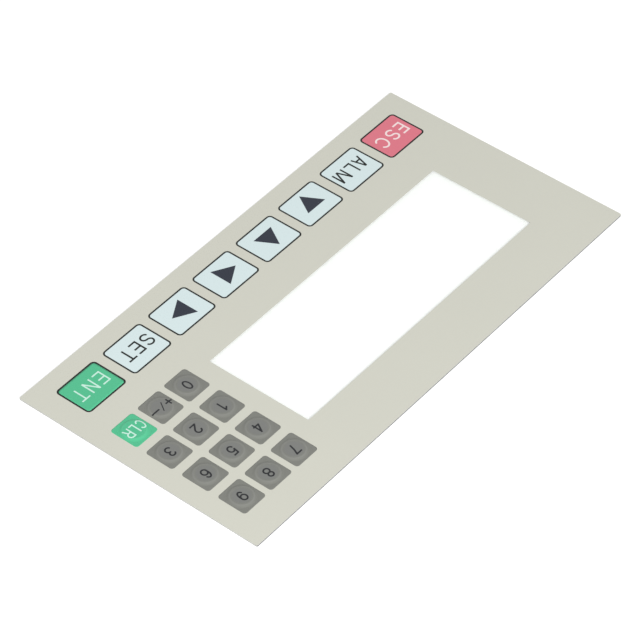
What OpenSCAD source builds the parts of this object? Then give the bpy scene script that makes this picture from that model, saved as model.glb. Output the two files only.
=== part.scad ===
// Membrane keypad: a printed front film with a clear display window, bonded over
// two circuit films and a spacer. It lies on its back, keys upwards.
// Lengths are in millimetres, and the origin is the middle of the rear face.

/* [Sheet] */
// Corner radius of the sheet
sheet_r = 0.5; // [0.2:0.1:2]
// From the outermost key to the sheet's right edge
margin_right = 6.35; // [5.5:0.05:15]

/* [Layer thicknesses] */
// Adhesive that holds the keypad to its panel
rear_adhesive_t = 0.05; // [0.03:0.01:0.2]
// Lower circuit film
lower_film_t = 0.1; // [0.05:0.025:0.25]
// Spacer that keeps the two circuits apart
spacer_t = 0.1; // [0.05:0.025:0.3]
// Upper circuit film
upper_film_t = 0.1; // [0.05:0.025:0.25]
// Adhesive under the front film
overlay_adhesive_t = 0.05; // [0.03:0.01:0.2]
// Front film
overlay_film_t = 0.125; // [0.1:0.025:0.25]
// Printed colour coat on the front film
print_t = 0.025; // [0.01:0.005:0.05]
// Printed silver of the contacts and tracks
silver_t = 0.01; // [0.005:0.005:0.02]

/* [Display window] */
// Width of the clear window
window_w = 100.2; // [80:0.1:120]
// Height of the clear window
window_h = 35.4; // [25:0.1:45]
// From the sheet's left edge to the window
window_margin_left = 19.4; // [5:0.1:30]
// From the top of the function keys to the window
window_rise = 12.4; // [8:0.1:20]
// From the window to the sheet's top edge
window_margin_top = 18.3; // [5:0.1:30]
// How far the inner layers stop short of the window
window_setback = 1.5; // [0.5:0.1:2.5]

/* [Function keys] */
// Width of a function key over its outline
function_key_w = 15.8; // [12:0.1:18]
// Height of a function key over its outline
function_key_h = 12.8; // [11:0.1:18]
// Outer corner radius of the outline
function_key_r = 1.4; // [0.6:0.1:3]
// Width of the printed outline
outline_w = 0.54; // [0.3:0.02:0.58]
// Space between two function keys
function_gap = 3.1; // [1:0.1:6]
// From the sheet's left edge to the first function key
function_margin_left = 7.2; // [3:0.1:15]
// From the sheet's bottom edge to the function keys
function_margin_bottom = 6.1; // [3:0.1:15]

/* [Number keys] */
// Width of a number key
number_key_w = 8.9; // [7:0.1:12]
// Height of a number key
number_key_h = 9.8; // [8.6:0.1:11.5]
// Corner radius of a number key
number_key_r = 1; // [0.4:0.1:2]
// Space between two columns
number_gap_x = 1.95; // [1:0.05:5]
// Space between two rows
number_gap_y = 2.9; // [1:0.1:5]
// From the window to the first column
number_margin_left = 6.45; // [5:0.05:12]
// How far the top row stands above the window
number_over = 8.8; // [2:0.1:13]

/* [Embossed domes] */
// From the side of a number key to the foot of its dome
dome_inset = 0.1; // [0.05:0.05:0.5]
// Width of the dome's slope, foot to crest
dome_slope_w = 1.2; // [0.8:0.1:2]
// Height of the dome
dome_h = 0.3; // [0.1:0.05:0.5]

/* [Switches] */
// From the side of a number key to its hole in the spacer
number_hole_inset = 0.65; // [0.3:0.05:1]
// From the top of a function key to its hole in the spacer
function_hole_inset = 1.9; // [1:0.1:2.5]
// From the edge of a spacer hole to its contact pad
pad_inset = 1; // [0.5:0.1:1.5]
// Width of a silver track
track_w = 0.5; // [0.3:0.05:0.7]
// From one track to the next
track_pitch = 1.2; // [1:0.05:1.3]
// Width of the air channels between the spacer holes
vent_w = 0.8; // [0.4:0.1:1.5]

/* [Hidden] */
$fn = 64;

// Colour of each function key from the left, and of each row of number keys from the bottom.
// The lower circuit has one line for even and one for odd function keys.
function_inks = ["red", "pale", "pale", "pale", "pale", "pale", "pale", "green"];
number_inks = [["grey", "grey", "green"], ["grey", "grey", "grey"],
               ["grey", "grey", "grey"], ["grey", "grey", "grey"]];
function_keys = len(function_inks);
number_rows = len(number_inks);
number_cols = len(number_inks[0]);
dome_steps = 12;
function_lines = 2;

// Layout, measured from the sheet's lower left corner
function_pitch = function_key_w + function_gap;
function_row_w = function_keys * function_pitch - function_gap;
function_x = function_margin_left + function_key_w / 2;
function_y = function_margin_bottom + function_key_h / 2;
function_top = function_margin_bottom + function_key_h;
window_y = function_top + window_rise;
number_pitch_x = number_key_w + number_gap_x;
number_pitch_y = number_key_h + number_gap_y;
number_block_w = number_cols * number_pitch_x - number_gap_x;
number_block_h = number_rows * number_pitch_y - number_gap_y;
number_left = window_margin_left + window_w + number_margin_left;
number_x = number_left + number_key_w / 2;
number_y = window_y + window_h + number_over - number_block_h + number_key_h / 2;
sheet_w = max(number_left + number_block_w, function_margin_left + function_row_w) + margin_right;
sheet_h = window_y + window_h + window_margin_top;

// Heights of the layers, from the rear face up
lower_film_z = rear_adhesive_t;
spacer_z = lower_film_z + lower_film_t;
upper_film_z = spacer_z + spacer_t;
overlay_adhesive_z = upper_film_z + upper_film_t;
overlay_z = overlay_adhesive_z + overlay_adhesive_t;
print_z = overlay_z + overlay_film_t;

// Domes and switches
dome_foot_r = number_key_w / 2 - dome_inset;
dome_crest_r = dome_foot_r - dome_slope_w;
dome_rim_r = dome_foot_r + dome_inset / 2;
number_hole_d = number_key_w - 2 * number_hole_inset;
function_hole_d = function_key_h - 2 * function_hole_inset;
number_pad_d = number_hole_d - 2 * pad_inset;
function_pad_d = function_hole_d - 2 * pad_inset;

// Tracks: lines beside the window, above and below the function keys, and down the right side
strip_pitch = (number_margin_left - window_setback + number_hole_inset) / (number_rows + 1);
bus_y = function_y + function_hole_d / 2;
low_bus_y = function_y - function_hole_d / 2 - track_pitch;
column_tail_x = function_x + (function_keys - 1) * function_pitch + function_hole_d / 2;
row_tail_x = number_x + (number_cols - 1) * number_pitch_x + number_hole_d / 2;
tail_y = track_pitch;

// Points of the layout
function function_at(k) = [function_x + k * function_pitch, function_y];
function number_at(c, r) = [number_x + c * number_pitch_x, number_y + r * number_pitch_y];
function strip_x(r) = number_x - number_hole_d / 2 - strip_pitch * (r + 1);

// Height of the dome over the sheet at radius r, level at the crest and at the foot
function dome_rise(r) = dome_h * (1 + cos(180 * (r - dome_crest_r) / dome_slope_w)) / 2;
dome_curve = [for (i = [0 : dome_steps])
    let (r = dome_crest_r + dome_slope_w * i / dome_steps) [r, dome_rise(r)]];

// Rectangle with round corners, centred
module rounded(w, h, r) {
    square([w - 2 * r, h], center = true);
    square([w, h - 2 * r], center = true);
    for (x = [r - w / 2, w / 2 - r], y = [r - h / 2, h / 2 - r])
        translate([x, y]) circle(r);
}

// Moves a drawing from the sheet's corner to the middle of the sheet
module on_sheet() { translate([-sheet_w / 2, -sheet_h / 2]) children(); }

module sheet_outline() { rounded(sheet_w, sheet_h, sheet_r); }

// The window, larger all round by the set-back
module window_outline(setback = 0) {
    on_sheet() translate([window_margin_left - setback, window_y - setback])
        square([window_w + 2 * setback, window_h + 2 * setback]);
}

// One layer of the stack behind the front film, open at the window
module inner_layer(z, t) {
    translate([0, 0, z]) linear_extrude(t) difference() {
        sheet_outline();
        window_outline(window_setback);
    }
}

// Cuts a drawing right through a layer, past both its faces
module through_cut(z, t) {
    translate([0, 0, z - t]) linear_extrude(3 * t) children();
}

module each_number_key() {
    on_sheet() for (c = [0 : number_cols - 1], r = [0 : number_rows - 1])
        translate(number_at(c, r)) children();
}

module each_function_key() {
    on_sheet() for (k = [0 : function_keys - 1]) translate(function_at(k)) children();
}

// Outline of a function key, inside its printed line or over it
module function_outline(inset = 0) {
    rounded(function_key_w - 2 * inset, function_key_h - 2 * inset, function_key_r - inset);
}

module number_outline() { rounded(number_key_w, number_key_h, number_key_r); }

// Film pressed up into a dome, t thick. Its flat rim at height 0 runs into the sheet around it.
module dome_shell(t) {
    under = concat([[0, dome_h]], dome_curve, [[dome_rim_r, 0]]);
    over = [for (i = [len(under) - 1 : -1 : 0]) under[i] + [0, t]];
    rotate_extrude() polygon(concat(under, over));
}

// Straight run of track through the points of a route, square at its corners
module track(route) {
    for (i = [1 : len(route) - 1]) {
        a = route[i - 1];
        b = route[i];
        translate([min(a.x, b.x) - track_w / 2, min(a.y, b.y) - track_w / 2])
            square([abs(a.x - b.x) + track_w, abs(a.y - b.y) + track_w]);
    }
}

// Pads of the lower circuit, joined by columns
module column_circuit() {
    last = number_cols - 1;
    pads();
    on_sheet() {
        // Number columns run down, turn right above the function keys and go down to the tail
        for (c = [0 : last]) {
            turn_y = bus_y + track_pitch * (c + function_lines);
            tail_x = column_tail_x + track_pitch * (c + 1 + function_lines);
            top = number_at(c, number_rows - 1);
            track([top, [top.x, turn_y], [tail_x, turn_y], [tail_x, tail_y]]);
        }
        // Even function keys hang from a line above them, odd ones from a line below
        for (k = [0 : function_keys - 1]) {
            pad = function_at(k);
            even = k % function_lines == 0;
            line_y = even ? bus_y + track_pitch : low_bus_y;
            tail_x = column_tail_x + track_pitch * (even ? 2 : 1);
            if (k < function_lines) track([pad, [pad.x, line_y], [tail_x, line_y], [tail_x, tail_y]]);
            else track([pad, [pad.x, line_y]]);
        }
    }
}

// Pads of the upper circuit, joined by rows, each with a pair of function keys
module row_circuit() {
    pads();
    on_sheet() for (r = [0 : number_rows - 1]) {
        row_y = number_at(0, r).y;
        turn_y = bus_y + track_pitch * (r + 1);
        tail_x = row_tail_x + track_pitch * (r + 1);
        left_key = function_at(function_keys - 2 - 2 * r);
        right_key = function_at(function_keys - 1 - 2 * r);
        track([[tail_x, tail_y], [tail_x, row_y], [strip_x(r), row_y], [strip_x(r), turn_y],
               [left_key.x, turn_y], left_key, right_key]);
    }
}

module pads() {
    each_number_key() circle(d = number_pad_d);
    each_function_key() circle(d = function_pad_d);
}

module rear_adhesive() { color("#e4e2da") inner_layer(0, rear_adhesive_t); }

module lower_circuit_film() { color("#dfe3e0") inner_layer(lower_film_z, lower_film_t); }

module lower_contacts() {
    color("#b9bcbe") translate([0, 0, spacer_z]) linear_extrude(silver_t) column_circuit();
}

// Spacer with a round hole under each key and air channels between the holes.
// It is relieved over the silver of both circuits.
module spacer() {
    color("#e9eae4") difference() {
        inner_layer(spacer_z, spacer_t);
        through_cut(spacer_z, spacer_t) {
            each_number_key() circle(d = number_hole_d);
            each_function_key() circle(d = function_hole_d);
            on_sheet() vents();
        }
        lower_contacts();
        upper_contacts();
    }
}

module vents() {
    for (r = [0 : number_rows - 1])
        vent(number_at(0, r), number_at(number_cols - 1, r));
    vent(function_at(0), function_at(function_keys - 1));
    link_x = number_x + number_pitch_x / 2;
    vent([link_x, function_y], [link_x, number_at(0, number_rows - 1).y]);
}

// Channel from one point to another along X or Y
module vent(a, b) {
    translate([a.x - vent_w / 2, a.y - vent_w / 2])
        square([b.x - a.x + vent_w, b.y - a.y + vent_w]);
}

module upper_contacts() {
    color("#b9bcbe") translate([0, 0, upper_film_z - silver_t])
        linear_extrude(silver_t) row_circuit();
}

module upper_circuit_film() { color("#dfe3e0") inner_layer(upper_film_z, upper_film_t); }

// Adhesive sheet, open under the hollow domes
module overlay_adhesive() {
    color("#e4e2da") difference() {
        inner_layer(overlay_adhesive_z, overlay_adhesive_t);
        through_cut(overlay_adhesive_z, overlay_adhesive_t) each_number_key() circle(dome_foot_r);
    }
}

// Clear front film, whole across the window, with a dome pressed up under each number key
module overlay_film() {
    color("#d7d8d2") {
        difference() {
            translate([0, 0, overlay_z]) linear_extrude(overlay_film_t) sheet_outline();
            through_cut(overlay_z, overlay_film_t) each_number_key() circle(dome_foot_r);
        }
        translate([0, 0, overlay_z]) each_number_key() dome_shell(overlay_film_t);
    }
}

// Ground colour, open at the window and at every key
module field_print() {
    color("#d0d1c5") translate([0, 0, print_z]) linear_extrude(print_t) difference() {
        sheet_outline();
        window_outline();
        each_function_key() function_outline();
        each_number_key() number_outline();
    }
}

// Dark line round each function key
module outline_print() {
    color("#2e3838") translate([0, 0, print_z]) linear_extrude(print_t)
        each_function_key() difference() {
            function_outline();
            function_outline(outline_w);
        }
}

// Coats of all the keys in one colour
module key_print(ink) {
    translate([0, 0, print_z]) linear_extrude(print_t) on_sheet()
        for (k = [0 : function_keys - 1]) if (function_inks[k] == ink)
            translate(function_at(k)) function_outline(outline_w);
    for (c = [0 : number_cols - 1], r = [0 : number_rows - 1])
        if (number_inks[r][c] == ink) number_key_print(c, r);
}

// Coat of one number key, which follows its dome
module number_key_print(c, r) {
    on_sheet() translate(number_at(c, r)) translate([0, 0, print_z]) {
        linear_extrude(print_t) difference() {
            number_outline();
            circle(dome_foot_r);
        }
        dome_shell(print_t);
    }
}

module red_key_print() { color("#de7887") key_print("red"); }

module pale_key_print() { color("#d7e8e8") key_print("pale"); }

module green_key_print() { color("#50c891") key_print("green"); }

module grey_key_print() { color("#878782") key_print("grey"); }

rear_adhesive();
lower_circuit_film();
lower_contacts();
spacer();
upper_contacts();
upper_circuit_film();
overlay_adhesive();
overlay_film();
field_print();
outline_print();
red_key_print();
pale_key_print();
green_key_print();
grey_key_print();
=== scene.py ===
"""Looks of a membrane keypad: printed inks, legends, domed keys, clear window, studio and camera.

Lengths are written in millimetres and become metres with MM. Angles are written in degrees. The axes
are the part's own: X along the sheet, Y from the function keys to the top edge, Z out of the printed
face.
"""

import math

import bpy
import numpy as np
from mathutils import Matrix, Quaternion, Vector


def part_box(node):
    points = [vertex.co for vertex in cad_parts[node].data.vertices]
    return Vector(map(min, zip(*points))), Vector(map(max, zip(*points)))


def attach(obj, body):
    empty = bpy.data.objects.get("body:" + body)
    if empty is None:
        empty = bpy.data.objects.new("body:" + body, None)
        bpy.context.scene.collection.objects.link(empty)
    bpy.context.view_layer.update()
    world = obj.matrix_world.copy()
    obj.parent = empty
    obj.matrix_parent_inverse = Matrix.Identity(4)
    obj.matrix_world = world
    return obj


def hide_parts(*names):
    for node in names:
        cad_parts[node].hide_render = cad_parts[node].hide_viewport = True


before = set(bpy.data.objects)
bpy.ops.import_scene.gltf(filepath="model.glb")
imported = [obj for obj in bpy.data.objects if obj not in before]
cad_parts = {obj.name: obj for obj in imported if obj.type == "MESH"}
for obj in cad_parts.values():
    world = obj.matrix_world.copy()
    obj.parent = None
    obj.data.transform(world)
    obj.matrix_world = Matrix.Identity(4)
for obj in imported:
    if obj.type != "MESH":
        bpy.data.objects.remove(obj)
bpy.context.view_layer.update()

MM = 0.001

# Keys. The rest of the layout comes from the boxes of the printed coats.
FUNCTION_KEY_W = 15.8
FUNCTION_KEYS = 8
OUTLINE_W = 0.54
OUTLINE_INNER_R = 0.86
NUMBER_KEY_W = 8.9
NUMBER_KEY_H = 9.8
NUMBER_KEY_R = 1.0
NUMBER_COLUMNS = 3
NUMBER_ROWS = 4
COAT_T = 0.025

# Function keys with words, counted from the left, and number keys with other marks, by column and row
ESCAPE_KEY = 0
ALARM_KEY = 1
SETTINGS_KEY = 6
ENTER_KEY = 7
SIGN_KEY = (1, 0)
CLEAR_KEY = (2, 0)

# Vertices along and across a key coat, close enough for a smooth dome
NUMBER_DIVISIONS = (46, 50)
ENTER_DIVISIONS = (30, 24)

# Domes pressed up under the number keys
DOME_FOOT_R = 4.35
DOME_CREST_R = 3.15
# The lighter ring on each crest is partly ink stretched by pressing, partly a painted highlight
STRETCH_SHEEN_RING_R = 3.35
STRETCH_SHEEN_RING_W = 0.42
CROWN_R = 2.4
CROWN_FADE = 0.6

# Finishes: sizes of their patterns in millimetres, spreads of tone and roughness
INK_IOR = 1.5
INK_SHEEN = 0.3
INK_DRIFT = 22
INK_GRAIN = 0.3
INK_GRAIN_H = 0.006
INK_TONES = (0.985, 1.015)
INK_ROUGHNESS = (0.42, 0.56)
POLYESTER_IOR = 1.57
CLEAR_RIPPLE = 9
CLEAR_RIPPLE_H = 0.01
CLEAR_ROUGHNESS = 0.12
EDGE_ROUGHNESS = 0.4
MILKY_CLOUD = 14
MILKY_CLOUD_H = 0.01
MILKY_TONES = (0.8, 1.2)
MILKY_SPREAD = 0.06
SILVER_FLAKE = 0.15
SILVER_METAL = 0.9
SILVER_ROUGHNESS = (0.38, 0.6)

# A face counts as level when its normal's Z, up or down, is more than this
LEVEL_LIMIT = 0.5

# Sockets of a Mix node that mixes colours
MIX_A = 6
MIX_B = 7
MIX_OUT = 2

# Legends. INK_STEP is the grid on which letters are cut out, and the snaps are shares of it: a grid
# point that close to an edge counts as just inside it, and a cut that close to a point moves onto it.
INK_T = 0.006
INK_STEP = 0.1
EDGE_SNAP = 0.1
CORNER_SNAP = 0.05
JUST_INSIDE = -1e-9
ARC_STEP = 8
WORD_H = 4.85
WORD_STROKE = 0.58
PALE_WORD_STROKE = 0.47
WORD_DROP = 0.2
DIGIT_W = 2.28
DIGIT_H = 3.75
DIGIT_STROKE = 0.5
DIGIT_SHIFT = (0.0, 0.22)
ARROW_SIDE = 7.68

# Camera, as the photograph was taken: direction from the middle of the printed face, aim and roll
CAMERA_AZIMUTH = 39.539
CAMERA_ELEVATION = 44.658
CAMERA_DISTANCE = 933.84
CAMERA_AIM = (6.505, 2.292)
CAMERA_ROLL = -0.561
CAMERA_LENS = 187.25
CAMERA_SENSOR = 36.0
CAMERA_CLIP = (0.01, 20)

# Studio. The lamp's and the room's shares of the light on the sheet add up to 1.
LAMP_AZIMUTH = 54
LAMP_ELEVATION = 36
LAMP_DISTANCE = 1400
LAMP_SIZE = 700
LAMP_SHARE = 0.5
ROOM_SHARE = 0.5
FLOOR_SIZE = 2400
FLOOR_DROP = 0.03
FLOOR_GLOW = 0.35


# Small helpers

def linear(code):
    """Linear colour of an sRGB hex value"""
    shares = [int(code[i : i + 2], 16) / 255 for i in (1, 3, 5)]
    return tuple(c / 12.92 if c <= 0.04045 else ((c + 0.055) / 1.055) ** 2.4 for c in shares) + (1.0,)


def brighter(colour, factor):
    """Colour times a factor, in linear light"""
    return tuple(c * factor for c in colour[:3]) + (1.0,)


def per_mm(size):
    """Texture scale that gives features of that size in millimetres"""
    return 1 / (size * MM)


def add_node(tree, kind, inputs=None, **settings):
    """Adds a node, sets its properties and fills its inputs with values, with links from sockets, or
    with links from the first output of other nodes"""
    made = tree.nodes.new(kind)
    for name, value in settings.items():
        setattr(made, name, value)
    for name, value in (inputs or {}).items():
        if isinstance(value, bpy.types.Node):
            value = value.outputs[0]
        if isinstance(value, bpy.types.NodeSocket):
            tree.links.new(value, made.inputs[name])
        else:
            made.inputs[name].default_value = value
    return made


def new_material(name):
    """Empty material and its node tree"""
    material = bpy.data.materials.new(name)
    material.use_nodes = True
    material.node_tree.nodes.clear()
    return material, material.node_tree


def looked_at(tree):
    """1 where the camera sees a surface directly, in a mirror or through glass, and 0 where it only
    lights something else"""
    path = add_node(tree, "ShaderNodeLightPath").outputs
    seen = path["Is Camera Ray"]
    for way in ("Is Glossy Ray", "Is Transmission Ray"):
        seen = add_node(tree, "ShaderNodeMath", {0: seen, 1: path[way]}, operation="MAXIMUM").outputs[0]
    return seen


def dome_rise(radius, height):
    """Height of a dome over the sheet, level at the crest and at the foot"""
    share = np.clip((radius - DOME_CREST_R) / (DOME_FOOT_R - DOME_CREST_R), 0, 1)
    return height * (1 + np.cos(math.pi * share)) / 2


# Layout from the frame, in millimetres

def box_mm(node):
    """Lowest and highest corner of a node"""
    low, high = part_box(node)
    return np.array(low) / MM, np.array(high) / MM


row_low, row_high = box_mm("outline_print")
block_low, block_high = box_mm("grey_key_print")
face_z = box_mm("field_print")[1][2]
dome_h = block_high[2] - face_z
function_y = (row_low[1] + row_high[1]) / 2
function_h = row_high[1] - row_low[1]
function_pitch = (row_high[0] - row_low[0] - FUNCTION_KEY_W) / (FUNCTION_KEYS - 1)
pitch_x = (block_high[0] - block_low[0] - NUMBER_KEY_W) / (NUMBER_COLUMNS - 1)
pitch_y = (block_high[1] - block_low[1] - NUMBER_KEY_H) / (NUMBER_ROWS - 1)


def function_key(index):
    """Centre of a function key, counted from the left"""
    return row_low[0] + FUNCTION_KEY_W / 2 + index * function_pitch, function_y


def number_key(column, row):
    """Centre of a number key, counted from the lower left"""
    return (
        block_low[0] + NUMBER_KEY_W / 2 + column * pitch_x,
        block_low[1] + NUMBER_KEY_H / 2 + row * pitch_y,
    )


# Materials

def screen_ink(name, code, crown_code=None, stretch_sheen_code=None):
    """Screen-printed ink on textured polyester: satin, with a velvet grain and a faint drift of tone.

    The grain is drawn at 0.3 mm, several times coarser than the real one, so that it shows. On a
    domed key, the ink is lighter in a ring on the crest, partly stretched there by pressing and
    partly a painted highlight where the crest catches the light, and it is cooler on the crown."""
    material, tree = new_material(name)
    colour = linear(code)
    place = add_node(tree, "ShaderNodeTexCoord").outputs["Object"]
    drift = add_node(
        tree, "ShaderNodeTexNoise", {"Vector": place, "Scale": per_mm(INK_DRIFT), "Detail": 3.0}
    )
    grain = add_node(
        tree, "ShaderNodeTexNoise", {"Vector": place, "Scale": per_mm(INK_GRAIN), "Detail": 2.0}
    )
    dim, bright = (brighter(colour, share) for share in INK_TONES)
    tone = add_node(
        tree, "ShaderNodeMix", {"Factor": drift, MIX_A: dim, MIX_B: bright}, data_type="RGBA"
    ).outputs[MIX_OUT]
    for attribute, shade in (("crown", crown_code), ("stretch_sheen_ring", stretch_sheen_code)):
        if shade:
            share = add_node(tree, "ShaderNodeAttribute", attribute_name=attribute).outputs["Fac"]
            tone = add_node(
                tree,
                "ShaderNodeMix",
                {"Factor": share, MIX_A: tone, MIX_B: linear(shade)},
                data_type="RGBA",
            ).outputs[MIX_OUT]
    roughness = add_node(
        tree,
        "ShaderNodeMapRange",
        {"Value": grain, "To Min": INK_ROUGHNESS[0], "To Max": INK_ROUGHNESS[1]},
    )
    bump = add_node(
        tree, "ShaderNodeBump", {"Height": grain, "Distance": INK_GRAIN_H * MM, "Strength": 0.6}
    )
    shader = add_node(
        tree,
        "ShaderNodeBsdfPrincipled",
        {
            "Base Color": tone,
            "Roughness": roughness,
            "Normal": bump,
            "IOR": INK_IOR,
            "Specular IOR Level": INK_SHEEN,
        },
    )
    add_node(tree, "ShaderNodeOutputMaterial", {"Surface": shader})
    return material


def clear_polyester():
    """Clear polyester film: see-through with a soft gloss on its faces, milky on its cut edges"""
    material, tree = new_material("clear_polyester")
    place = add_node(tree, "ShaderNodeTexCoord").outputs["Object"]
    ripple = add_node(
        tree, "ShaderNodeTexNoise", {"Vector": place, "Scale": per_mm(CLEAR_RIPPLE), "Detail": 1.0}
    )
    bump = add_node(
        tree, "ShaderNodeBump", {"Height": ripple, "Distance": CLEAR_RIPPLE_H * MM, "Strength": 0.5}
    )
    through = add_node(tree, "ShaderNodeBsdfTransparent", {"Color": linear("#fbfcfb")})
    gloss = add_node(
        tree,
        "ShaderNodeBsdfGlossy",
        {"Color": linear("#ffffff"), "Roughness": CLEAR_ROUGHNESS, "Normal": bump},
    )

    # A Fresnel node turns its IOR over on a back face, so that face is given the inverse
    surface = add_node(tree, "ShaderNodeNewGeometry").outputs
    density = add_node(
        tree,
        "ShaderNodeMapRange",
        {"Value": surface["Backfacing"], "To Min": POLYESTER_IOR, "To Max": 1 / POLYESTER_IOR},
    )
    mirrored = add_node(tree, "ShaderNodeFresnel", {"IOR": density, "Normal": bump})
    face = add_node(tree, "ShaderNodeMixShader", {0: mirrored, 1: through, 2: gloss})
    edge = add_node(
        tree,
        "ShaderNodeBsdfPrincipled",
        {"Base Color": linear("#bfc1bb"), "Roughness": EDGE_ROUGHNESS},
    )
    upward = add_node(tree, "ShaderNodeSeparateXYZ", {0: surface["True Normal"]}).outputs["Z"]
    level = add_node(tree, "ShaderNodeMath", {0: upward}, operation="ABSOLUTE")
    on_face = add_node(tree, "ShaderNodeMath", {0: level, 1: LEVEL_LIMIT}, operation="GREATER_THAN")
    shader = add_node(tree, "ShaderNodeMixShader", {0: on_face, 1: edge, 2: face})
    add_node(tree, "ShaderNodeOutputMaterial", {"Surface": shader})
    return material


def milky_film(name, code, long_edge_shadow_code, roughness):
    """Milky polyester or adhesive sheet: pale and cloudy, from broad streaks of coating down to fine
    mottling. The long edges are darker than the short ones, as the photograph shows them: a painted
    shadow, standing in for the shade in the gap under the sheet's edges."""
    material, tree = new_material(name)
    colour = linear(code)
    place = add_node(tree, "ShaderNodeTexCoord").outputs["Object"]
    cloud = add_node(
        tree,
        "ShaderNodeTexNoise",
        {"Vector": place, "Scale": per_mm(MILKY_CLOUD), "Detail": 7.0, "Roughness": 0.68},
    )
    dim, bright = (brighter(colour, share) for share in MILKY_TONES)
    tone = add_node(
        tree, "ShaderNodeMix", {"Factor": cloud, MIX_A: dim, MIX_B: bright}, data_type="RGBA"
    ).outputs[MIX_OUT]
    # Painted shadow: faces that look along Y, the long edges, take the darker colour in place of the
    # shade in the gap under them
    normal = add_node(tree, "ShaderNodeNewGeometry").outputs["True Normal"]
    sideways = add_node(tree, "ShaderNodeSeparateXYZ", {0: normal}).outputs["Y"]
    long_edge_shadow = add_node(tree, "ShaderNodeMath", {0: sideways}, operation="ABSOLUTE")
    tone = add_node(
        tree,
        "ShaderNodeMix",
        {"Factor": long_edge_shadow, MIX_A: tone, MIX_B: linear(long_edge_shadow_code)},
        data_type="RGBA",
    ).outputs[MIX_OUT]
    spread = add_node(
        tree,
        "ShaderNodeMapRange",
        {"Value": cloud, "To Min": roughness - MILKY_SPREAD, "To Max": roughness + MILKY_SPREAD},
    )
    bump = add_node(
        tree, "ShaderNodeBump", {"Height": cloud, "Distance": MILKY_CLOUD_H * MM, "Strength": 0.4}
    )
    shader = add_node(
        tree,
        "ShaderNodeBsdfPrincipled",
        {"Base Color": tone, "Roughness": spread, "Normal": bump, "IOR": POLYESTER_IOR},
    )
    add_node(tree, "ShaderNodeOutputMaterial", {"Surface": shader})
    return material


def silver_paste():
    """Printed silver paste: matte grey metal whose roughness changes from flake to flake. The flakes
    are drawn at 0.15 mm, coarser than real ones."""
    material, tree = new_material("silver_paste")
    place = add_node(tree, "ShaderNodeTexCoord").outputs["Object"]
    flakes = add_node(tree, "ShaderNodeTexVoronoi", {"Vector": place, "Scale": per_mm(SILVER_FLAKE)})
    roughness = add_node(
        tree,
        "ShaderNodeMapRange",
        {"Value": flakes, "To Min": SILVER_ROUGHNESS[0], "To Max": SILVER_ROUGHNESS[1]},
    )
    shader = add_node(
        tree,
        "ShaderNodeBsdfPrincipled",
        {"Base Color": linear("#bfc1c4"), "Metallic": SILVER_METAL, "Roughness": roughness},
    )
    add_node(tree, "ShaderNodeOutputMaterial", {"Surface": shader})
    return material


def studio_white():
    """Matte white table. It glows a little in sight, so that it reads as white and keeps its shadow"""
    material, tree = new_material("studio_white")
    strength = add_node(
        tree, "ShaderNodeMath", {0: looked_at(tree), 1: FLOOR_GLOW}, operation="MULTIPLY"
    )
    matte = add_node(tree, "ShaderNodeBsdfDiffuse", {"Color": linear("#f2f2f2")})
    glow = add_node(tree, "ShaderNodeEmission", {"Strength": strength})
    shader = add_node(tree, "ShaderNodeAddShader", {0: matte, 1: glow})
    add_node(tree, "ShaderNodeOutputMaterial", {"Surface": shader})
    return material


INKS = {
    "beige": screen_ink("beige_screen_ink", "#d2d2c6"),
    "dark": screen_ink("dark_screen_ink", "#0e1412"),
    "arrow": screen_ink("slate_screen_ink", "#282d3a"),
    "red": screen_ink("red_screen_ink", "#e07a89"),
    "pale": screen_ink("pale_blue_screen_ink", "#daeaeb"),
    # The last colour of the green and grey inks is the crest ring: partly stretched ink, partly a
    # painted highlight
    "green": screen_ink("green_screen_ink", "#54bf90", "#53be90", "#5cc596"),
    "grey": screen_ink("grey_screen_ink", "#7e7f79", "#7c7d7a", "#868782"),
    "digit": screen_ink("charcoal_screen_ink", "#1f2124"),
    "white": screen_ink("white_screen_ink", "#f8e4e3"),
    "pale green": screen_ink("pale_green_screen_ink", "#cdf0e2"),
}
# The third colour of each film is a painted shadow on its long edges
MILKY_ADHESIVE = milky_film("milky_adhesive", "#bdbab4", "#545257", roughness=0.5)
MILKY_POLYESTER = milky_film("milky_polyester", "#bbbcba", "#5b595e", roughness=0.35)
SPACER_POLYESTER = milky_film("spacer_polyester", "#c0c0bb", "#5f5d62", roughness=0.4)
SILVER_PASTE = silver_paste()
CLEAR_POLYESTER = clear_polyester()

NODE_FINISH = {
    "rear_adhesive": MILKY_ADHESIVE,
    "lower_circuit_film": MILKY_POLYESTER,
    "lower_contacts": SILVER_PASTE,
    "spacer": SPACER_POLYESTER,
    "upper_contacts": SILVER_PASTE,
    "upper_circuit_film": MILKY_POLYESTER,
    "overlay_adhesive": MILKY_ADHESIVE,
    "overlay_film": CLEAR_POLYESTER,
    "field_print": INKS["beige"],
    "outline_print": INKS["dark"],
    "red_key_print": INKS["red"],
    "pale_key_print": INKS["pale"],
    "green_key_print": INKS["green"],
    "grey_key_print": INKS["grey"],
}
for node_name, finish in NODE_FINISH.items():
    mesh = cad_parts[node_name].data
    mesh.materials.clear()
    mesh.materials.append(finish)


# Domed key coats, made by Geometry Nodes

COAT_INPUTS = {
    "Key Size": "NodeSocketVector",
    "Corner Centre": "NodeSocketVector",
    "Across": "NodeSocketInt",
    "Along": "NodeSocketInt",
    "Columns": "NodeSocketInt",
    "Rows": "NodeSocketInt",
    "Grid Width": "NodeSocketFloat",
    "Grid Height": "NodeSocketFloat",
    "Left Out": "NodeSocketInt",
    "Centre": "NodeSocketVector",
    "Dome Crest": "NodeSocketFloat",
    "Dome Foot": "NodeSocketFloat",
    "Half Rise": "NodeSocketFloat",
    "Ring Radius": "NodeSocketFloat",
    "Ring Width": "NodeSocketFloat",
    "Crown Radius": "NodeSocketFloat",
    "Crown Edge": "NodeSocketFloat",
    "Ink": "NodeSocketMaterial",
}


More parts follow.
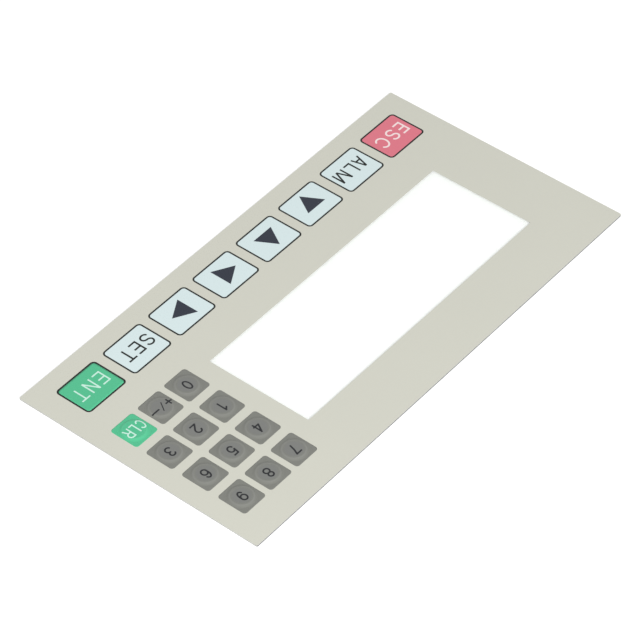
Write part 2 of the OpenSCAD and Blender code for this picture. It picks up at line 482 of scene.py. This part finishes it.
def key_coat_tree():
    """Tree that adds a grid of key coats: rounded plates that follow the domes under them"""
    tree = bpy.data.node_groups.new("domed_key_coats", "GeometryNodeTree")
    tree.interface.new_socket("Geometry", in_out="INPUT", socket_type="NodeSocketGeometry")
    for name, kind in COAT_INPUTS.items():
        tree.interface.new_socket(name, in_out="INPUT", socket_type=kind)
    tree.interface.new_socket("Geometry", in_out="OUTPUT", socket_type="NodeSocketGeometry")
    given = add_node(tree, "NodeGroupInput").outputs

    # One plate, finely divided
    plate = add_node(
        tree,
        "GeometryNodeMeshCube",
        {"Size": given["Key Size"], "Vertices X": given["Across"], "Vertices Y": given["Along"]},
    )

    # Corners drawn in: past a corner's centre, square rings of points become round ones
    position = add_node(tree, "GeometryNodeInputPosition")
    side = add_node(tree, "ShaderNodeVectorMath", {0: position}, operation="SIGN")
    reach = add_node(tree, "ShaderNodeVectorMath", {0: position}, operation="ABSOLUTE")
    within = add_node(
        tree, "ShaderNodeVectorMath", {0: reach, 1: given["Corner Centre"]}, operation="MINIMUM"
    )
    past = add_node(tree, "ShaderNodeVectorMath", {0: reach, 1: within}, operation="SUBTRACT")
    past_length = add_node(tree, "ShaderNodeVectorMath", {0: past}, operation="LENGTH").outputs["Value"]
    past_parts = add_node(tree, "ShaderNodeSeparateXYZ", {0: past}).outputs
    farther = add_node(
        tree, "ShaderNodeMath", {0: past_parts["X"], 1: past_parts["Y"]}, operation="MAXIMUM"
    )
    pull = add_node(tree, "ShaderNodeMath", {0: farther, 1: past_length}, operation="DIVIDE")
    drawn = add_node(tree, "ShaderNodeVectorMath", {0: past, "Scale": pull}, operation="SCALE")
    round_reach = add_node(tree, "ShaderNodeVectorMath", {0: within, 1: drawn}, operation="ADD")
    rounded = add_node(tree, "ShaderNodeVectorMath", {0: round_reach, 1: side}, operation="MULTIPLY")

    # Dome, level at its crest and at its foot
    radius = add_node(tree, "ShaderNodeVectorMath", {0: rounded}, operation="LENGTH").outputs["Value"]
    slope = add_node(
        tree,
        "ShaderNodeMapRange",
        {
            "Value": radius,
            "From Min": given["Dome Crest"],
            "From Max": given["Dome Foot"],
            "To Max": math.pi,
        },
    )
    cosine = add_node(tree, "ShaderNodeMath", {0: slope}, operation="COSINE")
    rise = add_node(
        tree,
        "ShaderNodeMath",
        {0: cosine, 1: given["Half Rise"], 2: given["Half Rise"]},
        operation="MULTIPLY_ADD",
    )
    lift = add_node(tree, "ShaderNodeCombineXYZ", {"Z": rise})

    # Ring on the crest where the ink is lighter, partly stretched by pressing and partly a painted
    # highlight, and the crown inside it
    from_ring = add_node(
        tree, "ShaderNodeMath", {0: radius, 1: given["Ring Radius"]}, operation="SUBTRACT"
    )
    off_ring = add_node(tree, "ShaderNodeMath", {0: from_ring}, operation="ABSOLUTE")
    ring = add_node(
        tree,
        "ShaderNodeMapRange",
        {"Value": off_ring, "From Max": given["Ring Width"], "To Min": 1.0, "To Max": 0.0},
        interpolation_type="SMOOTHSTEP",
    )
    crown = add_node(
        tree,
        "ShaderNodeMapRange",
        {
            "Value": radius,
            "From Min": given["Crown Radius"],
            "From Max": given["Crown Edge"],
            "To Min": 1.0,
            "To Max": 0.0,
        },
        interpolation_type="SMOOTHSTEP",
    )
    marked = plate
    for name, value in (("stretch_sheen_ring", ring), ("crown", crown)):
        marked = add_node(
            tree,
            "GeometryNodeStoreNamedAttribute",
            {"Geometry": marked, "Name": name, "Value": value},
            data_type="FLOAT",
            domain="POINT",
        )
    shaped = add_node(
        tree, "GeometryNodeSetPosition", {"Geometry": marked, "Position": rounded, "Offset": lift}
    )

    # Broad faces smooth, walls flat
    normal = add_node(tree, "GeometryNodeInputNormal")
    upward = add_node(tree, "ShaderNodeSeparateXYZ", {0: normal}).outputs["Z"]
    level = add_node(tree, "ShaderNodeMath", {0: upward}, operation="ABSOLUTE")
    broad = add_node(tree, "ShaderNodeMath", {0: level, 1: LEVEL_LIMIT}, operation="GREATER_THAN")
    smooth = add_node(
        tree, "GeometryNodeSetShadeSmooth", {"Geometry": shaped, "Shade Smooth": broad}
    )

    # Repeats on the grid of keys. A Compare node's sockets 2 and 3 take whole numbers.
    grid = add_node(
        tree,
        "GeometryNodeMeshGrid",
        {
            "Size X": given["Grid Width"],
            "Size Y": given["Grid Height"],
            "Vertices X": given["Columns"],
            "Vertices Y": given["Rows"],
        },
    )
    index = add_node(tree, "GeometryNodeInputIndex")
    kept = add_node(
        tree,
        "FunctionNodeCompare",
        {2: index, 3: given["Left Out"]},
        data_type="INT",
        operation="NOT_EQUAL",
    )
    copies = add_node(
        tree, "GeometryNodeInstanceOnPoints", {"Points": grid, "Selection": kept, "Instance": smooth}
    )
    placed = add_node(
        tree, "GeometryNodeTransform", {"Geometry": copies, "Translation": given["Centre"]}
    )
    joined = add_node(tree, "GeometryNodeJoinGeometry", {0: placed})
    tree.links.new(given["Geometry"], joined.inputs[0])
    real = add_node(tree, "GeometryNodeRealizeInstances", {"Geometry": joined})
    inked = add_node(tree, "GeometryNodeSetMaterial", {"Geometry": real, "Material": given["Ink"]})
    add_node(tree, "NodeGroupOutput", {"Geometry": inked})
    return tree


COAT_TREE = key_coat_tree()


def add_coats(piece, ink, size, corner_r, divisions, centre, rise, grid=(1, 1), left_out=-1):
    """Modifier that adds a grid of key coats to a piece. Lengths are in millimetres. On a flat key the
    ring and the crown lie below a radius of 0, so neither shows. left_out counts up the columns."""
    values = {
        "Key Size": [size[0] * MM, size[1] * MM, COAT_T * MM],
        "Corner Centre": [(size[0] / 2 - corner_r) * MM, (size[1] / 2 - corner_r) * MM, COAT_T * MM],
        "Across": divisions[0],
        "Along": divisions[1],
        "Columns": grid[0],
        "Rows": grid[1],
        "Grid Width": (grid[0] - 1) * pitch_x * MM,
        "Grid Height": (grid[1] - 1) * pitch_y * MM,
        "Left Out": left_out,
        "Centre": [centre[0] * MM, centre[1] * MM, (face_z - COAT_T / 2) * MM],
        "Dome Crest": DOME_CREST_R * MM,
        "Dome Foot": DOME_FOOT_R * MM,
        "Half Rise": rise / 2 * MM,
        "Ring Radius": (STRETCH_SHEEN_RING_R if rise else -STRETCH_SHEEN_RING_W) * MM,
        "Ring Width": STRETCH_SHEEN_RING_W * MM,
        "Crown Radius": (CROWN_R if rise else -CROWN_FADE) * MM,
        "Crown Edge": (CROWN_R + CROWN_FADE if rise else 0) * MM,
        "Ink": ink,
    }
    modifier = piece.modifiers.new("coats", "NODES")
    modifier.node_group = COAT_TREE
    for item in COAT_TREE.interface.items_tree:
        if item.in_out == "INPUT" and item.name in values:
            modifier[item.identifier] = values[item.name]


def empty_piece(name):
    """Object with no mesh yet, in the scene"""
    piece = bpy.data.objects.new(name, bpy.data.meshes.new(name))
    bpy.context.scene.collection.objects.link(piece)
    return piece


def make_plain(piece):
    """Turns what the modifiers give into the piece's own mesh"""
    graph = bpy.context.evaluated_depsgraph_get()
    made = bpy.data.meshes.new_from_object(piece.evaluated_get(graph), depsgraph=graph)
    piece.modifiers.clear()
    piece.data = made


number_size = (NUMBER_KEY_W, NUMBER_KEY_H)
block_centre = ((block_low[0] + block_high[0]) / 2, (block_low[1] + block_high[1]) / 2)
clear_index = CLEAR_KEY[0] * NUMBER_ROWS + CLEAR_KEY[1]
enter_size = (FUNCTION_KEY_W - 2 * OUTLINE_W, function_h - 2 * OUTLINE_W)

grey_coats = empty_piece("grey_key_coats")
add_coats(
    grey_coats, INKS["grey"], number_size, NUMBER_KEY_R, NUMBER_DIVISIONS,
    block_centre, dome_h, (NUMBER_COLUMNS, NUMBER_ROWS), clear_index,
)
make_plain(grey_coats)
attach(grey_coats, "root")
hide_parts("grey_key_print")

green_coats = empty_piece("green_key_coats")
add_coats(
    green_coats, INKS["green"], number_size, NUMBER_KEY_R, NUMBER_DIVISIONS,
    number_key(*CLEAR_KEY), dome_h,
)
add_coats(
    green_coats, INKS["green"], enter_size, OUTLINE_INNER_R, ENTER_DIVISIONS,
    function_key(ENTER_KEY), 0,
)
make_plain(green_coats)
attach(green_coats, "root")
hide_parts("green_key_print")


# Legends: a plain stroke lettering, drawn as distances to its strokes and filled on a fine grid

class Pen:
    """Strokes of one letter in a box of width w and height h. A stroke is a function that gives
    the distance from its edge, negative inside the ink. The numbers in the letters below are shares
    of the box or of the stroke, and angles in degrees."""

    def __init__(self, w, h, stroke):
        self.w, self.h, self.stroke = w, h, stroke
        self.left = self.low = stroke / 2
        self.right, self.top = w - stroke / 2, h - stroke / 2
        self.mid_x, self.mid_y = w / 2, h / 2

    def bar(self, x0, y0, x1, y1):
        """Straight stroke with square ends"""
        length = math.hypot(x1 - x0, y1 - y0)
        ux, uy = (x1 - x0) / length, (y1 - y0) / length

        def distance(x, y):
            run = (x - x0) * ux + (y - y0) * uy
            side = np.abs((x - x0) * uy - (y - y0) * ux)
            return np.maximum.reduce([side - self.stroke / 2, -run, run - length])

        return distance

    def bend(self, points):
        """Curved stroke through points"""

        def distance(x, y):
            nearest = np.full(x.shape, np.inf)
            for (x0, y0), (x1, y1) in zip(points, points[1:]):
                dx, dy = x1 - x0, y1 - y0
                share = np.clip(((x - x0) * dx + (y - y0) * dy) / (dx * dx + dy * dy), 0, 1)
                nearest = np.minimum(nearest, np.hypot(x - x0 - share * dx, y - y0 - share * dy))
            return nearest - self.stroke / 2

        return distance

    def oval(self, low, high, first, last, narrow=1.0):
        """Points round part of an oval that spans the box from low to high, by angles in degrees"""
        cy, ry = (low + high) / 2, (high - low) / 2
        rx = (self.right - self.left) / 2 * narrow
        steps = max(2, round(abs(last - first) / ARC_STEP))
        angles = [math.radians(first + (last - first) * i / steps) for i in range(steps + 1)]
        return [(self.mid_x + rx * math.cos(a), cy + ry * math.sin(a)) for a in angles]


def letter_a(p):
    foot, bar_y = 0.45 * p.stroke, 0.32 * p.h
    inset = p.mid_x * bar_y / p.h
    return [
        p.bar(foot, -p.stroke, p.mid_x + 0.1 * foot, p.h + p.stroke / 2),
        p.bar(p.w - foot, -p.stroke, p.mid_x - 0.1 * foot, p.h + p.stroke / 2),
        p.bar(inset, bar_y, p.w - inset, bar_y),
    ]


def letter_c(p):
    return [p.bend(p.oval(p.low, p.top, 42, 318))]


def letter_e(p):
    return [
        p.bar(p.left, 0, p.left, p.h),
        p.bar(0, p.top, p.w, p.top),
        p.bar(0, 0.53 * p.h, 0.95 * p.w, 0.53 * p.h),
        p.bar(0, p.low, p.w, p.low),
    ]


def letter_l(p):
    return [p.bar(p.left, 0, p.left, p.h), p.bar(0, p.low, p.w, p.low)]


def letter_m(p):
    return [
        p.bar(p.left, 0, p.left, p.h),
        p.bar(p.right, 0, p.right, p.h),
        p.bar(p.left, p.h, p.mid_x, 0),
        p.bar(p.right, p.h, p.mid_x, 0),
    ]


def letter_n(p):
    return [
        p.bar(p.left, 0, p.left, p.h),
        p.bar(p.right, 0, p.right, p.h),
        p.bar(p.left, p.h, p.right, 0),
    ]


def letter_r(p):
    waist = 0.46 * p.h
    bowl_r = (p.top - waist) / 2
    turn_x = p.right - bowl_r
    turn = [math.radians(a) for a in range(90, -91, -15)]
    bowl = [(turn_x + bowl_r * math.cos(a), waist + bowl_r + bowl_r * math.sin(a)) for a in turn]
    return [
        p.bar(p.left, 0, p.left, p.h),
        p.bend([(p.left, p.top)] + bowl + [(p.left, waist)]),
        p.bar(0.55 * p.w, waist, p.right, -p.stroke / 2),
    ]


def letter_s(p):
    upper = p.oval(p.mid_y, p.top, 22, 270)
    lower = p.oval(p.low, p.mid_y, 90, -158)
    return [p.bend(upper + lower[1:])]


def letter_t(p):
    return [p.bar(0, p.top, p.w, p.top), p.bar(p.mid_x, 0, p.mid_x, p.h)]


def digit_0(p):
    return [p.bend(p.oval(p.low, p.top, 0, 360))]


def digit_1(p):
    stem = 0.66 * p.w
    return [p.bar(stem, 0, stem, p.h), p.bend([(0.27 * p.w, 0.73 * p.h), (stem, p.top)])]


def digit_2(p):
    crown = p.oval(p.h * 0.42, p.top, 165, -35)
    return [p.bend(crown + [(p.left, p.low)]), p.bar(0.3 * p.stroke, p.low, p.w, p.low)]


def digit_3(p):
    waist = 0.53 * p.h
    return [
        p.bend(p.oval(waist, p.top, 158, -90, 0.92)),
        p.bend(p.oval(p.low, waist, 90, -158)),
    ]


def digit_4(p):
    stem, bar_y = 0.72 * p.w, 0.27 * p.h
    return [
        p.bar(stem, 0, stem, p.h),
        p.bar(0, bar_y, p.w, bar_y),
        p.bend([(stem, p.top), (p.left, bar_y)]),
    ]


def digit_5(p):
    shoulder = 0.47 * p.h
    return [
        p.bar(0.2 * p.w, p.top, 0.95 * p.w, p.top),
        p.bend([(0.25 * p.w, p.top), (0.14 * p.w, shoulder)]),
        p.bend([(0.14 * p.w, shoulder)] + p.oval(p.low, 0.64 * p.h, 125, -158)),
    ]


def digit_6(p):
    return [
        p.bend(p.oval(p.low, 0.6 * p.h, 0, 360)),
        p.bend(p.oval(p.low, p.top, 38, 195)),
    ]


def digit_7(p):
    fall = [(p.right, p.top), (0.58 * p.w, 0.5 * p.h), (0.36 * p.w, -p.stroke / 2)]
    return [p.bar(0, p.top, p.w, p.top), p.bend(fall)]


def digit_8(p):
    waist = 0.53 * p.h
    return [
        p.bend(p.oval(waist, p.top, 0, 360, 0.88)),
        p.bend(p.oval(p.low, waist, 0, 360)),
    ]


def digit_9(p):
    return [
        p.bend(p.oval(0.4 * p.h, p.top, 0, 360)),
        p.bend(p.oval(p.low, p.top, -142, 15)),
    ]


def sign_plus(p):
    return [p.bar(0, p.mid_y, p.w, p.mid_y), p.bar(p.mid_x, 0, p.mid_x, p.h)]


def sign_slash(p):
    return [p.bar(p.left / 2, 0, p.w - p.left / 2, p.h)]


def sign_minus(p):
    return [p.bar(0, p.mid_y, p.w, p.mid_y)]


GLYPHS = {
    "A": letter_a, "C": letter_c, "E": letter_e, "L": letter_l, "M": letter_m, "N": letter_n,
    "R": letter_r, "S": letter_s, "T": letter_t, "0": digit_0, "1": digit_1, "2": digit_2,
    "3": digit_3, "4": digit_4, "5": digit_5, "6": digit_6, "7": digit_7, "8": digit_8,
    "9": digit_9, "+": sign_plus, "/": sign_slash, "-": sign_minus,
}


def arrow(centre, heading):
    """Points and polygon of a triangle with three equal sides that points along heading, in degrees"""
    reach = ARROW_SIDE / math.sqrt(3)
    ways = [math.radians(heading + turn) for turn in (0, 120, 240)]
    corners = [(centre[0] + reach * math.cos(a), centre[1] + reach * math.sin(a)) for a in ways]
    return corners, [[0, 1, 2]]


def fill(distance, low, high):
    """Points and polygons that fill a shape in a box, on a square grid cut along the shape's edge"""
    xs = np.arange(low[0] - INK_STEP, high[0] + 2 * INK_STEP, INK_STEP)
    ys = np.arange(low[1] - INK_STEP, high[1] + 2 * INK_STEP, INK_STEP)
    away = distance(*np.meshgrid(xs, ys, indexing="ij"))
    away[np.abs(away) < EDGE_SNAP * INK_STEP] = JUST_INSIDE
    points, known, faces = [], {}, []

    def point(key, x, y):
        if key not in known:
            known[key] = len(points)
            points.append((x, y))
        return known[key]

    def at_node(i, j):
        return point((i, j), xs[i], ys[j])

    def crossing(a, b):
        inner, outer = (a, b) if away[a] < 0 else (b, a)
        share = away[inner] / (away[inner] - away[outer])
        if share < CORNER_SNAP:
            return at_node(*inner)
        x = xs[inner[0]] + share * (xs[outer[0]] - xs[inner[0]])
        y = ys[inner[1]] + share * (ys[outer[1]] - ys[inner[1]])
        return point((inner, outer), x, y)

    for i in range(len(xs) - 1):
        for j in range(len(ys) - 1):
            corners = [(i, j), (i + 1, j), (i + 1, j + 1), (i, j + 1)]
            if all(away[c] >= 0 for c in corners):
                continue
            ring = []
            for a, b in zip(corners, corners[1:] + corners[:1]):
                if away[a] < 0:
                    ring.append(at_node(*a))
                if (away[a] < 0) != (away[b] < 0):
                    ring.append(crossing(a, b))
            ring = [v for k, v in enumerate(ring) if v != ring[k - 1]]
            if len(ring) > 2:
                faces.append(ring)
    return points, faces


def glyph(letter, centre, width, height, stroke):
    """Points and polygons of a letter, round its key's centre"""
    strokes = GLYPHS[letter](Pen(width, height, stroke))
    left, low = centre[0] - width / 2, centre[1] - height / 2

    def distance(x, y):
        x, y = x - left, y - low
        outside = np.maximum.reduce([-x, x - width, -y, y - height])
        return np.maximum(np.minimum.reduce([s(x, y) for s in strokes]), outside)

    return fill(distance, (left, low), (left + width, low + height))


def print_legends(name, marks, ink):
    """Piece of thin ink on the keys. A mark is a flat shape, its key's centre and that key's rise."""
    points, faces = [], []
    for (flat, rings), key, rise in marks:
        first, count = len(points), len(flat)
        level = [face_z + dome_rise(math.hypot(x, y), rise) for x, y in flat]
        for lift in (INK_T, -INK_T):
            points += [(x + key[0], y + key[1], z + lift) for (x, y), z in zip(flat, level)]
        edges = {(a, b) for ring in rings for a, b in zip(ring, ring[1:] + ring[:1])}
        faces += [[first + v for v in ring] for ring in rings]
        faces += [[first + count + v for v in reversed(ring)] for ring in rings]
        faces += [
            [first + count + a, first + count + b, first + b, first + a]
            for a, b in sorted(edges)
            if (b, a) not in edges
        ]
    piece = empty_piece(name)
    piece.data.from_pydata([tuple(c * MM for c in p) for p in points], [], faces)
    piece.data.materials.append(ink)
    piece.data.validate()
    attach(piece, "root")
    return piece


# Widths of letters, and places along each key from its centre. Clear letters also have a width, arrows
# a heading and a place, and signs a width, a height and a stroke.
LETTER_W = {"A": 3.5, "C": 3.85, "E": 2.85, "L": 2.6, "M": 4.2, "N": 3.0, "S": 3.1, "T": 3.15}
ESCAPE = {"E": -4.62, "S": -0.57, "C": 4.15}
ALARM = {"A": -4.15, "L": -0.35, "M": 4.05}
SETTINGS = {"S": -4.4, "E": -0.33, "T": 3.67}
ENTER = {"E": -4.25, "N": -0.15, "T": 4.17}
CLEAR = {"C": (-2.6, 2.15), "L": (-0.25, 1.55), "R": (2.1, 2.15)}
CLEAR_STROKE = 0.42
ARROWS = {2: (270, -0.3, -0.15), 3: (90, -0.34, -0.52), 4: (180, -0.2, -0.24), 5: (0, -0.47, -0.21)}
SIGN_RISE = 0.28
DIGITS = ["0  ", "123", "456", "789"]
SIGNS = {"+": (-2.92, 2.4, 2.4, 0.5), "/": (-0.4, 2.0, 2.95, 0.3), "-": (2.37, 2.9, 1.0, 0.5)}


def word(letters, index, stroke=WORD_STROKE):
    """Marks of a word on a function key, from each letter's place along it"""
    return [
        (glyph(c, (x, -WORD_DROP), LETTER_W[c], WORD_H, stroke), function_key(index), 0)
        for c, x in letters.items()
    ]


clear_marks = [
    (glyph(c, (x, 0), width, DIGIT_H, CLEAR_STROKE), number_key(*CLEAR_KEY), dome_h)
    for c, (x, width) in CLEAR.items()
]
arrow_marks = [
    (arrow((x, y), heading), function_key(index), 0) for index, (heading, x, y) in ARROWS.items()
]
digit_marks = [
    (glyph(c, DIGIT_SHIFT, DIGIT_W, DIGIT_H, DIGIT_STROKE), number_key(column, row), dome_h)
    for row, digits in enumerate(DIGITS)
    for column, c in enumerate(digits)
    if c.isdigit()
]
sign_marks = [
    (glyph(c, (x, SIGN_RISE), width, height, stroke), number_key(*SIGN_KEY), dome_h)
    for c, (x, width, height, stroke) in SIGNS.items()
]

dark_words = word(ALARM, ALARM_KEY) + word(SETTINGS, SETTINGS_KEY)
enter_marks = word(ENTER, ENTER_KEY, PALE_WORD_STROKE)

print_legends("dark_key_words", dark_words, INKS["dark"])
print_legends("white_key_words", word(ESCAPE, ESCAPE_KEY), INKS["white"])
print_legends("pale_green_key_words", enter_marks + clear_marks, INKS["pale green"])
print_legends("arrow_marks", arrow_marks, INKS["arrow"])
print_legends("number_marks", digit_marks + sign_marks, INKS["digit"])


# Studio

def from_angles(azimuth, elevation, distance):
    """Point at a distance from the middle of the printed face, in metres"""
    a, e = math.radians(azimuth), math.radians(elevation)
    way = Vector((math.cos(e) * math.cos(a), math.cos(e) * math.sin(a), math.sin(e)))
    return way * distance * MM + Vector((0, 0, face_z * MM))


def make_floor():
    """White table just under the part"""
    half = FLOOR_SIZE * MM / 2
    mesh = bpy.data.meshes.new("floor")
    corners = [(-half, -half), (half, -half), (half, half), (-half, half)]
    mesh.from_pydata([(x, y, -FLOOR_DROP * MM) for x, y in corners], [], [(0, 1, 2, 3)])
    mesh.materials.append(studio_white())
    floor = bpy.data.objects.new("floor", mesh)
    bpy.context.scene.collection.objects.link(floor)


def make_lamp():
    """Wide soft lamp. Its power gives LAMP_SHARE of the light that shows a colour as it is written,
    which is an irradiance of pi. A lamp gives its power / (pi distance^2), less by the tilt."""
    data = bpy.data.lights.new("soft_lamp", "AREA")
    data.shape = "DISK"
    data.size = LAMP_SIZE * MM
    tilt = math.sin(math.radians(LAMP_ELEVATION))
    data.energy = LAMP_SHARE * math.pi**2 * (LAMP_DISTANCE * MM) ** 2 / tilt
    lamp = bpy.data.objects.new("soft_lamp", data)
    lamp.location = from_angles(LAMP_AZIMUTH, LAMP_ELEVATION, LAMP_DISTANCE)
    lamp.rotation_mode = "QUATERNION"
    lamp.rotation_quaternion = (-lamp.location).to_track_quat("-Z", "Y")
    bpy.context.scene.collection.objects.link(lamp)


def make_room():
    """Even white room: white where it is seen or mirrored, and dimmer as light on the part"""
    world = bpy.data.worlds.new("white_room")
    world.use_nodes = True
    tree = world.node_tree
    tree.nodes.clear()
    strength = add_node(
        tree, "ShaderNodeMapRange", {"Value": looked_at(tree), "To Min": ROOM_SHARE, "To Max": 1.0}
    )
    sky = add_node(tree, "ShaderNodeBackground", {"Color": linear("#ffffff"), "Strength": strength})
    add_node(tree, "ShaderNodeOutputWorld", {"Surface": sky})
    bpy.context.scene.world = world


def make_camera():
    """Camera where the photograph was taken from"""
    data = bpy.data.cameras.new("camera")
    data.lens = CAMERA_LENS
    data.sensor_width = CAMERA_SENSOR
    data.sensor_fit = "HORIZONTAL"
    data.clip_start, data.clip_end = CAMERA_CLIP
    camera = bpy.data.objects.new("camera", data)
    camera.location = from_angles(CAMERA_AZIMUTH, CAMERA_ELEVATION, CAMERA_DISTANCE)
    aim = Vector((CAMERA_AIM[0] * MM, CAMERA_AIM[1] * MM, face_z * MM))
    level = (aim - camera.location).to_track_quat("-Z", "Y")
    camera.rotation_mode = "QUATERNION"
    camera.rotation_quaternion = level @ Quaternion((0, 0, 1), math.radians(CAMERA_ROLL))
    bpy.context.scene.collection.objects.link(camera)
    bpy.context.scene.camera = camera


make_floor()
make_lamp()
make_room()
make_camera()
bpy.context.scene.view_settings.view_transform = "Standard"
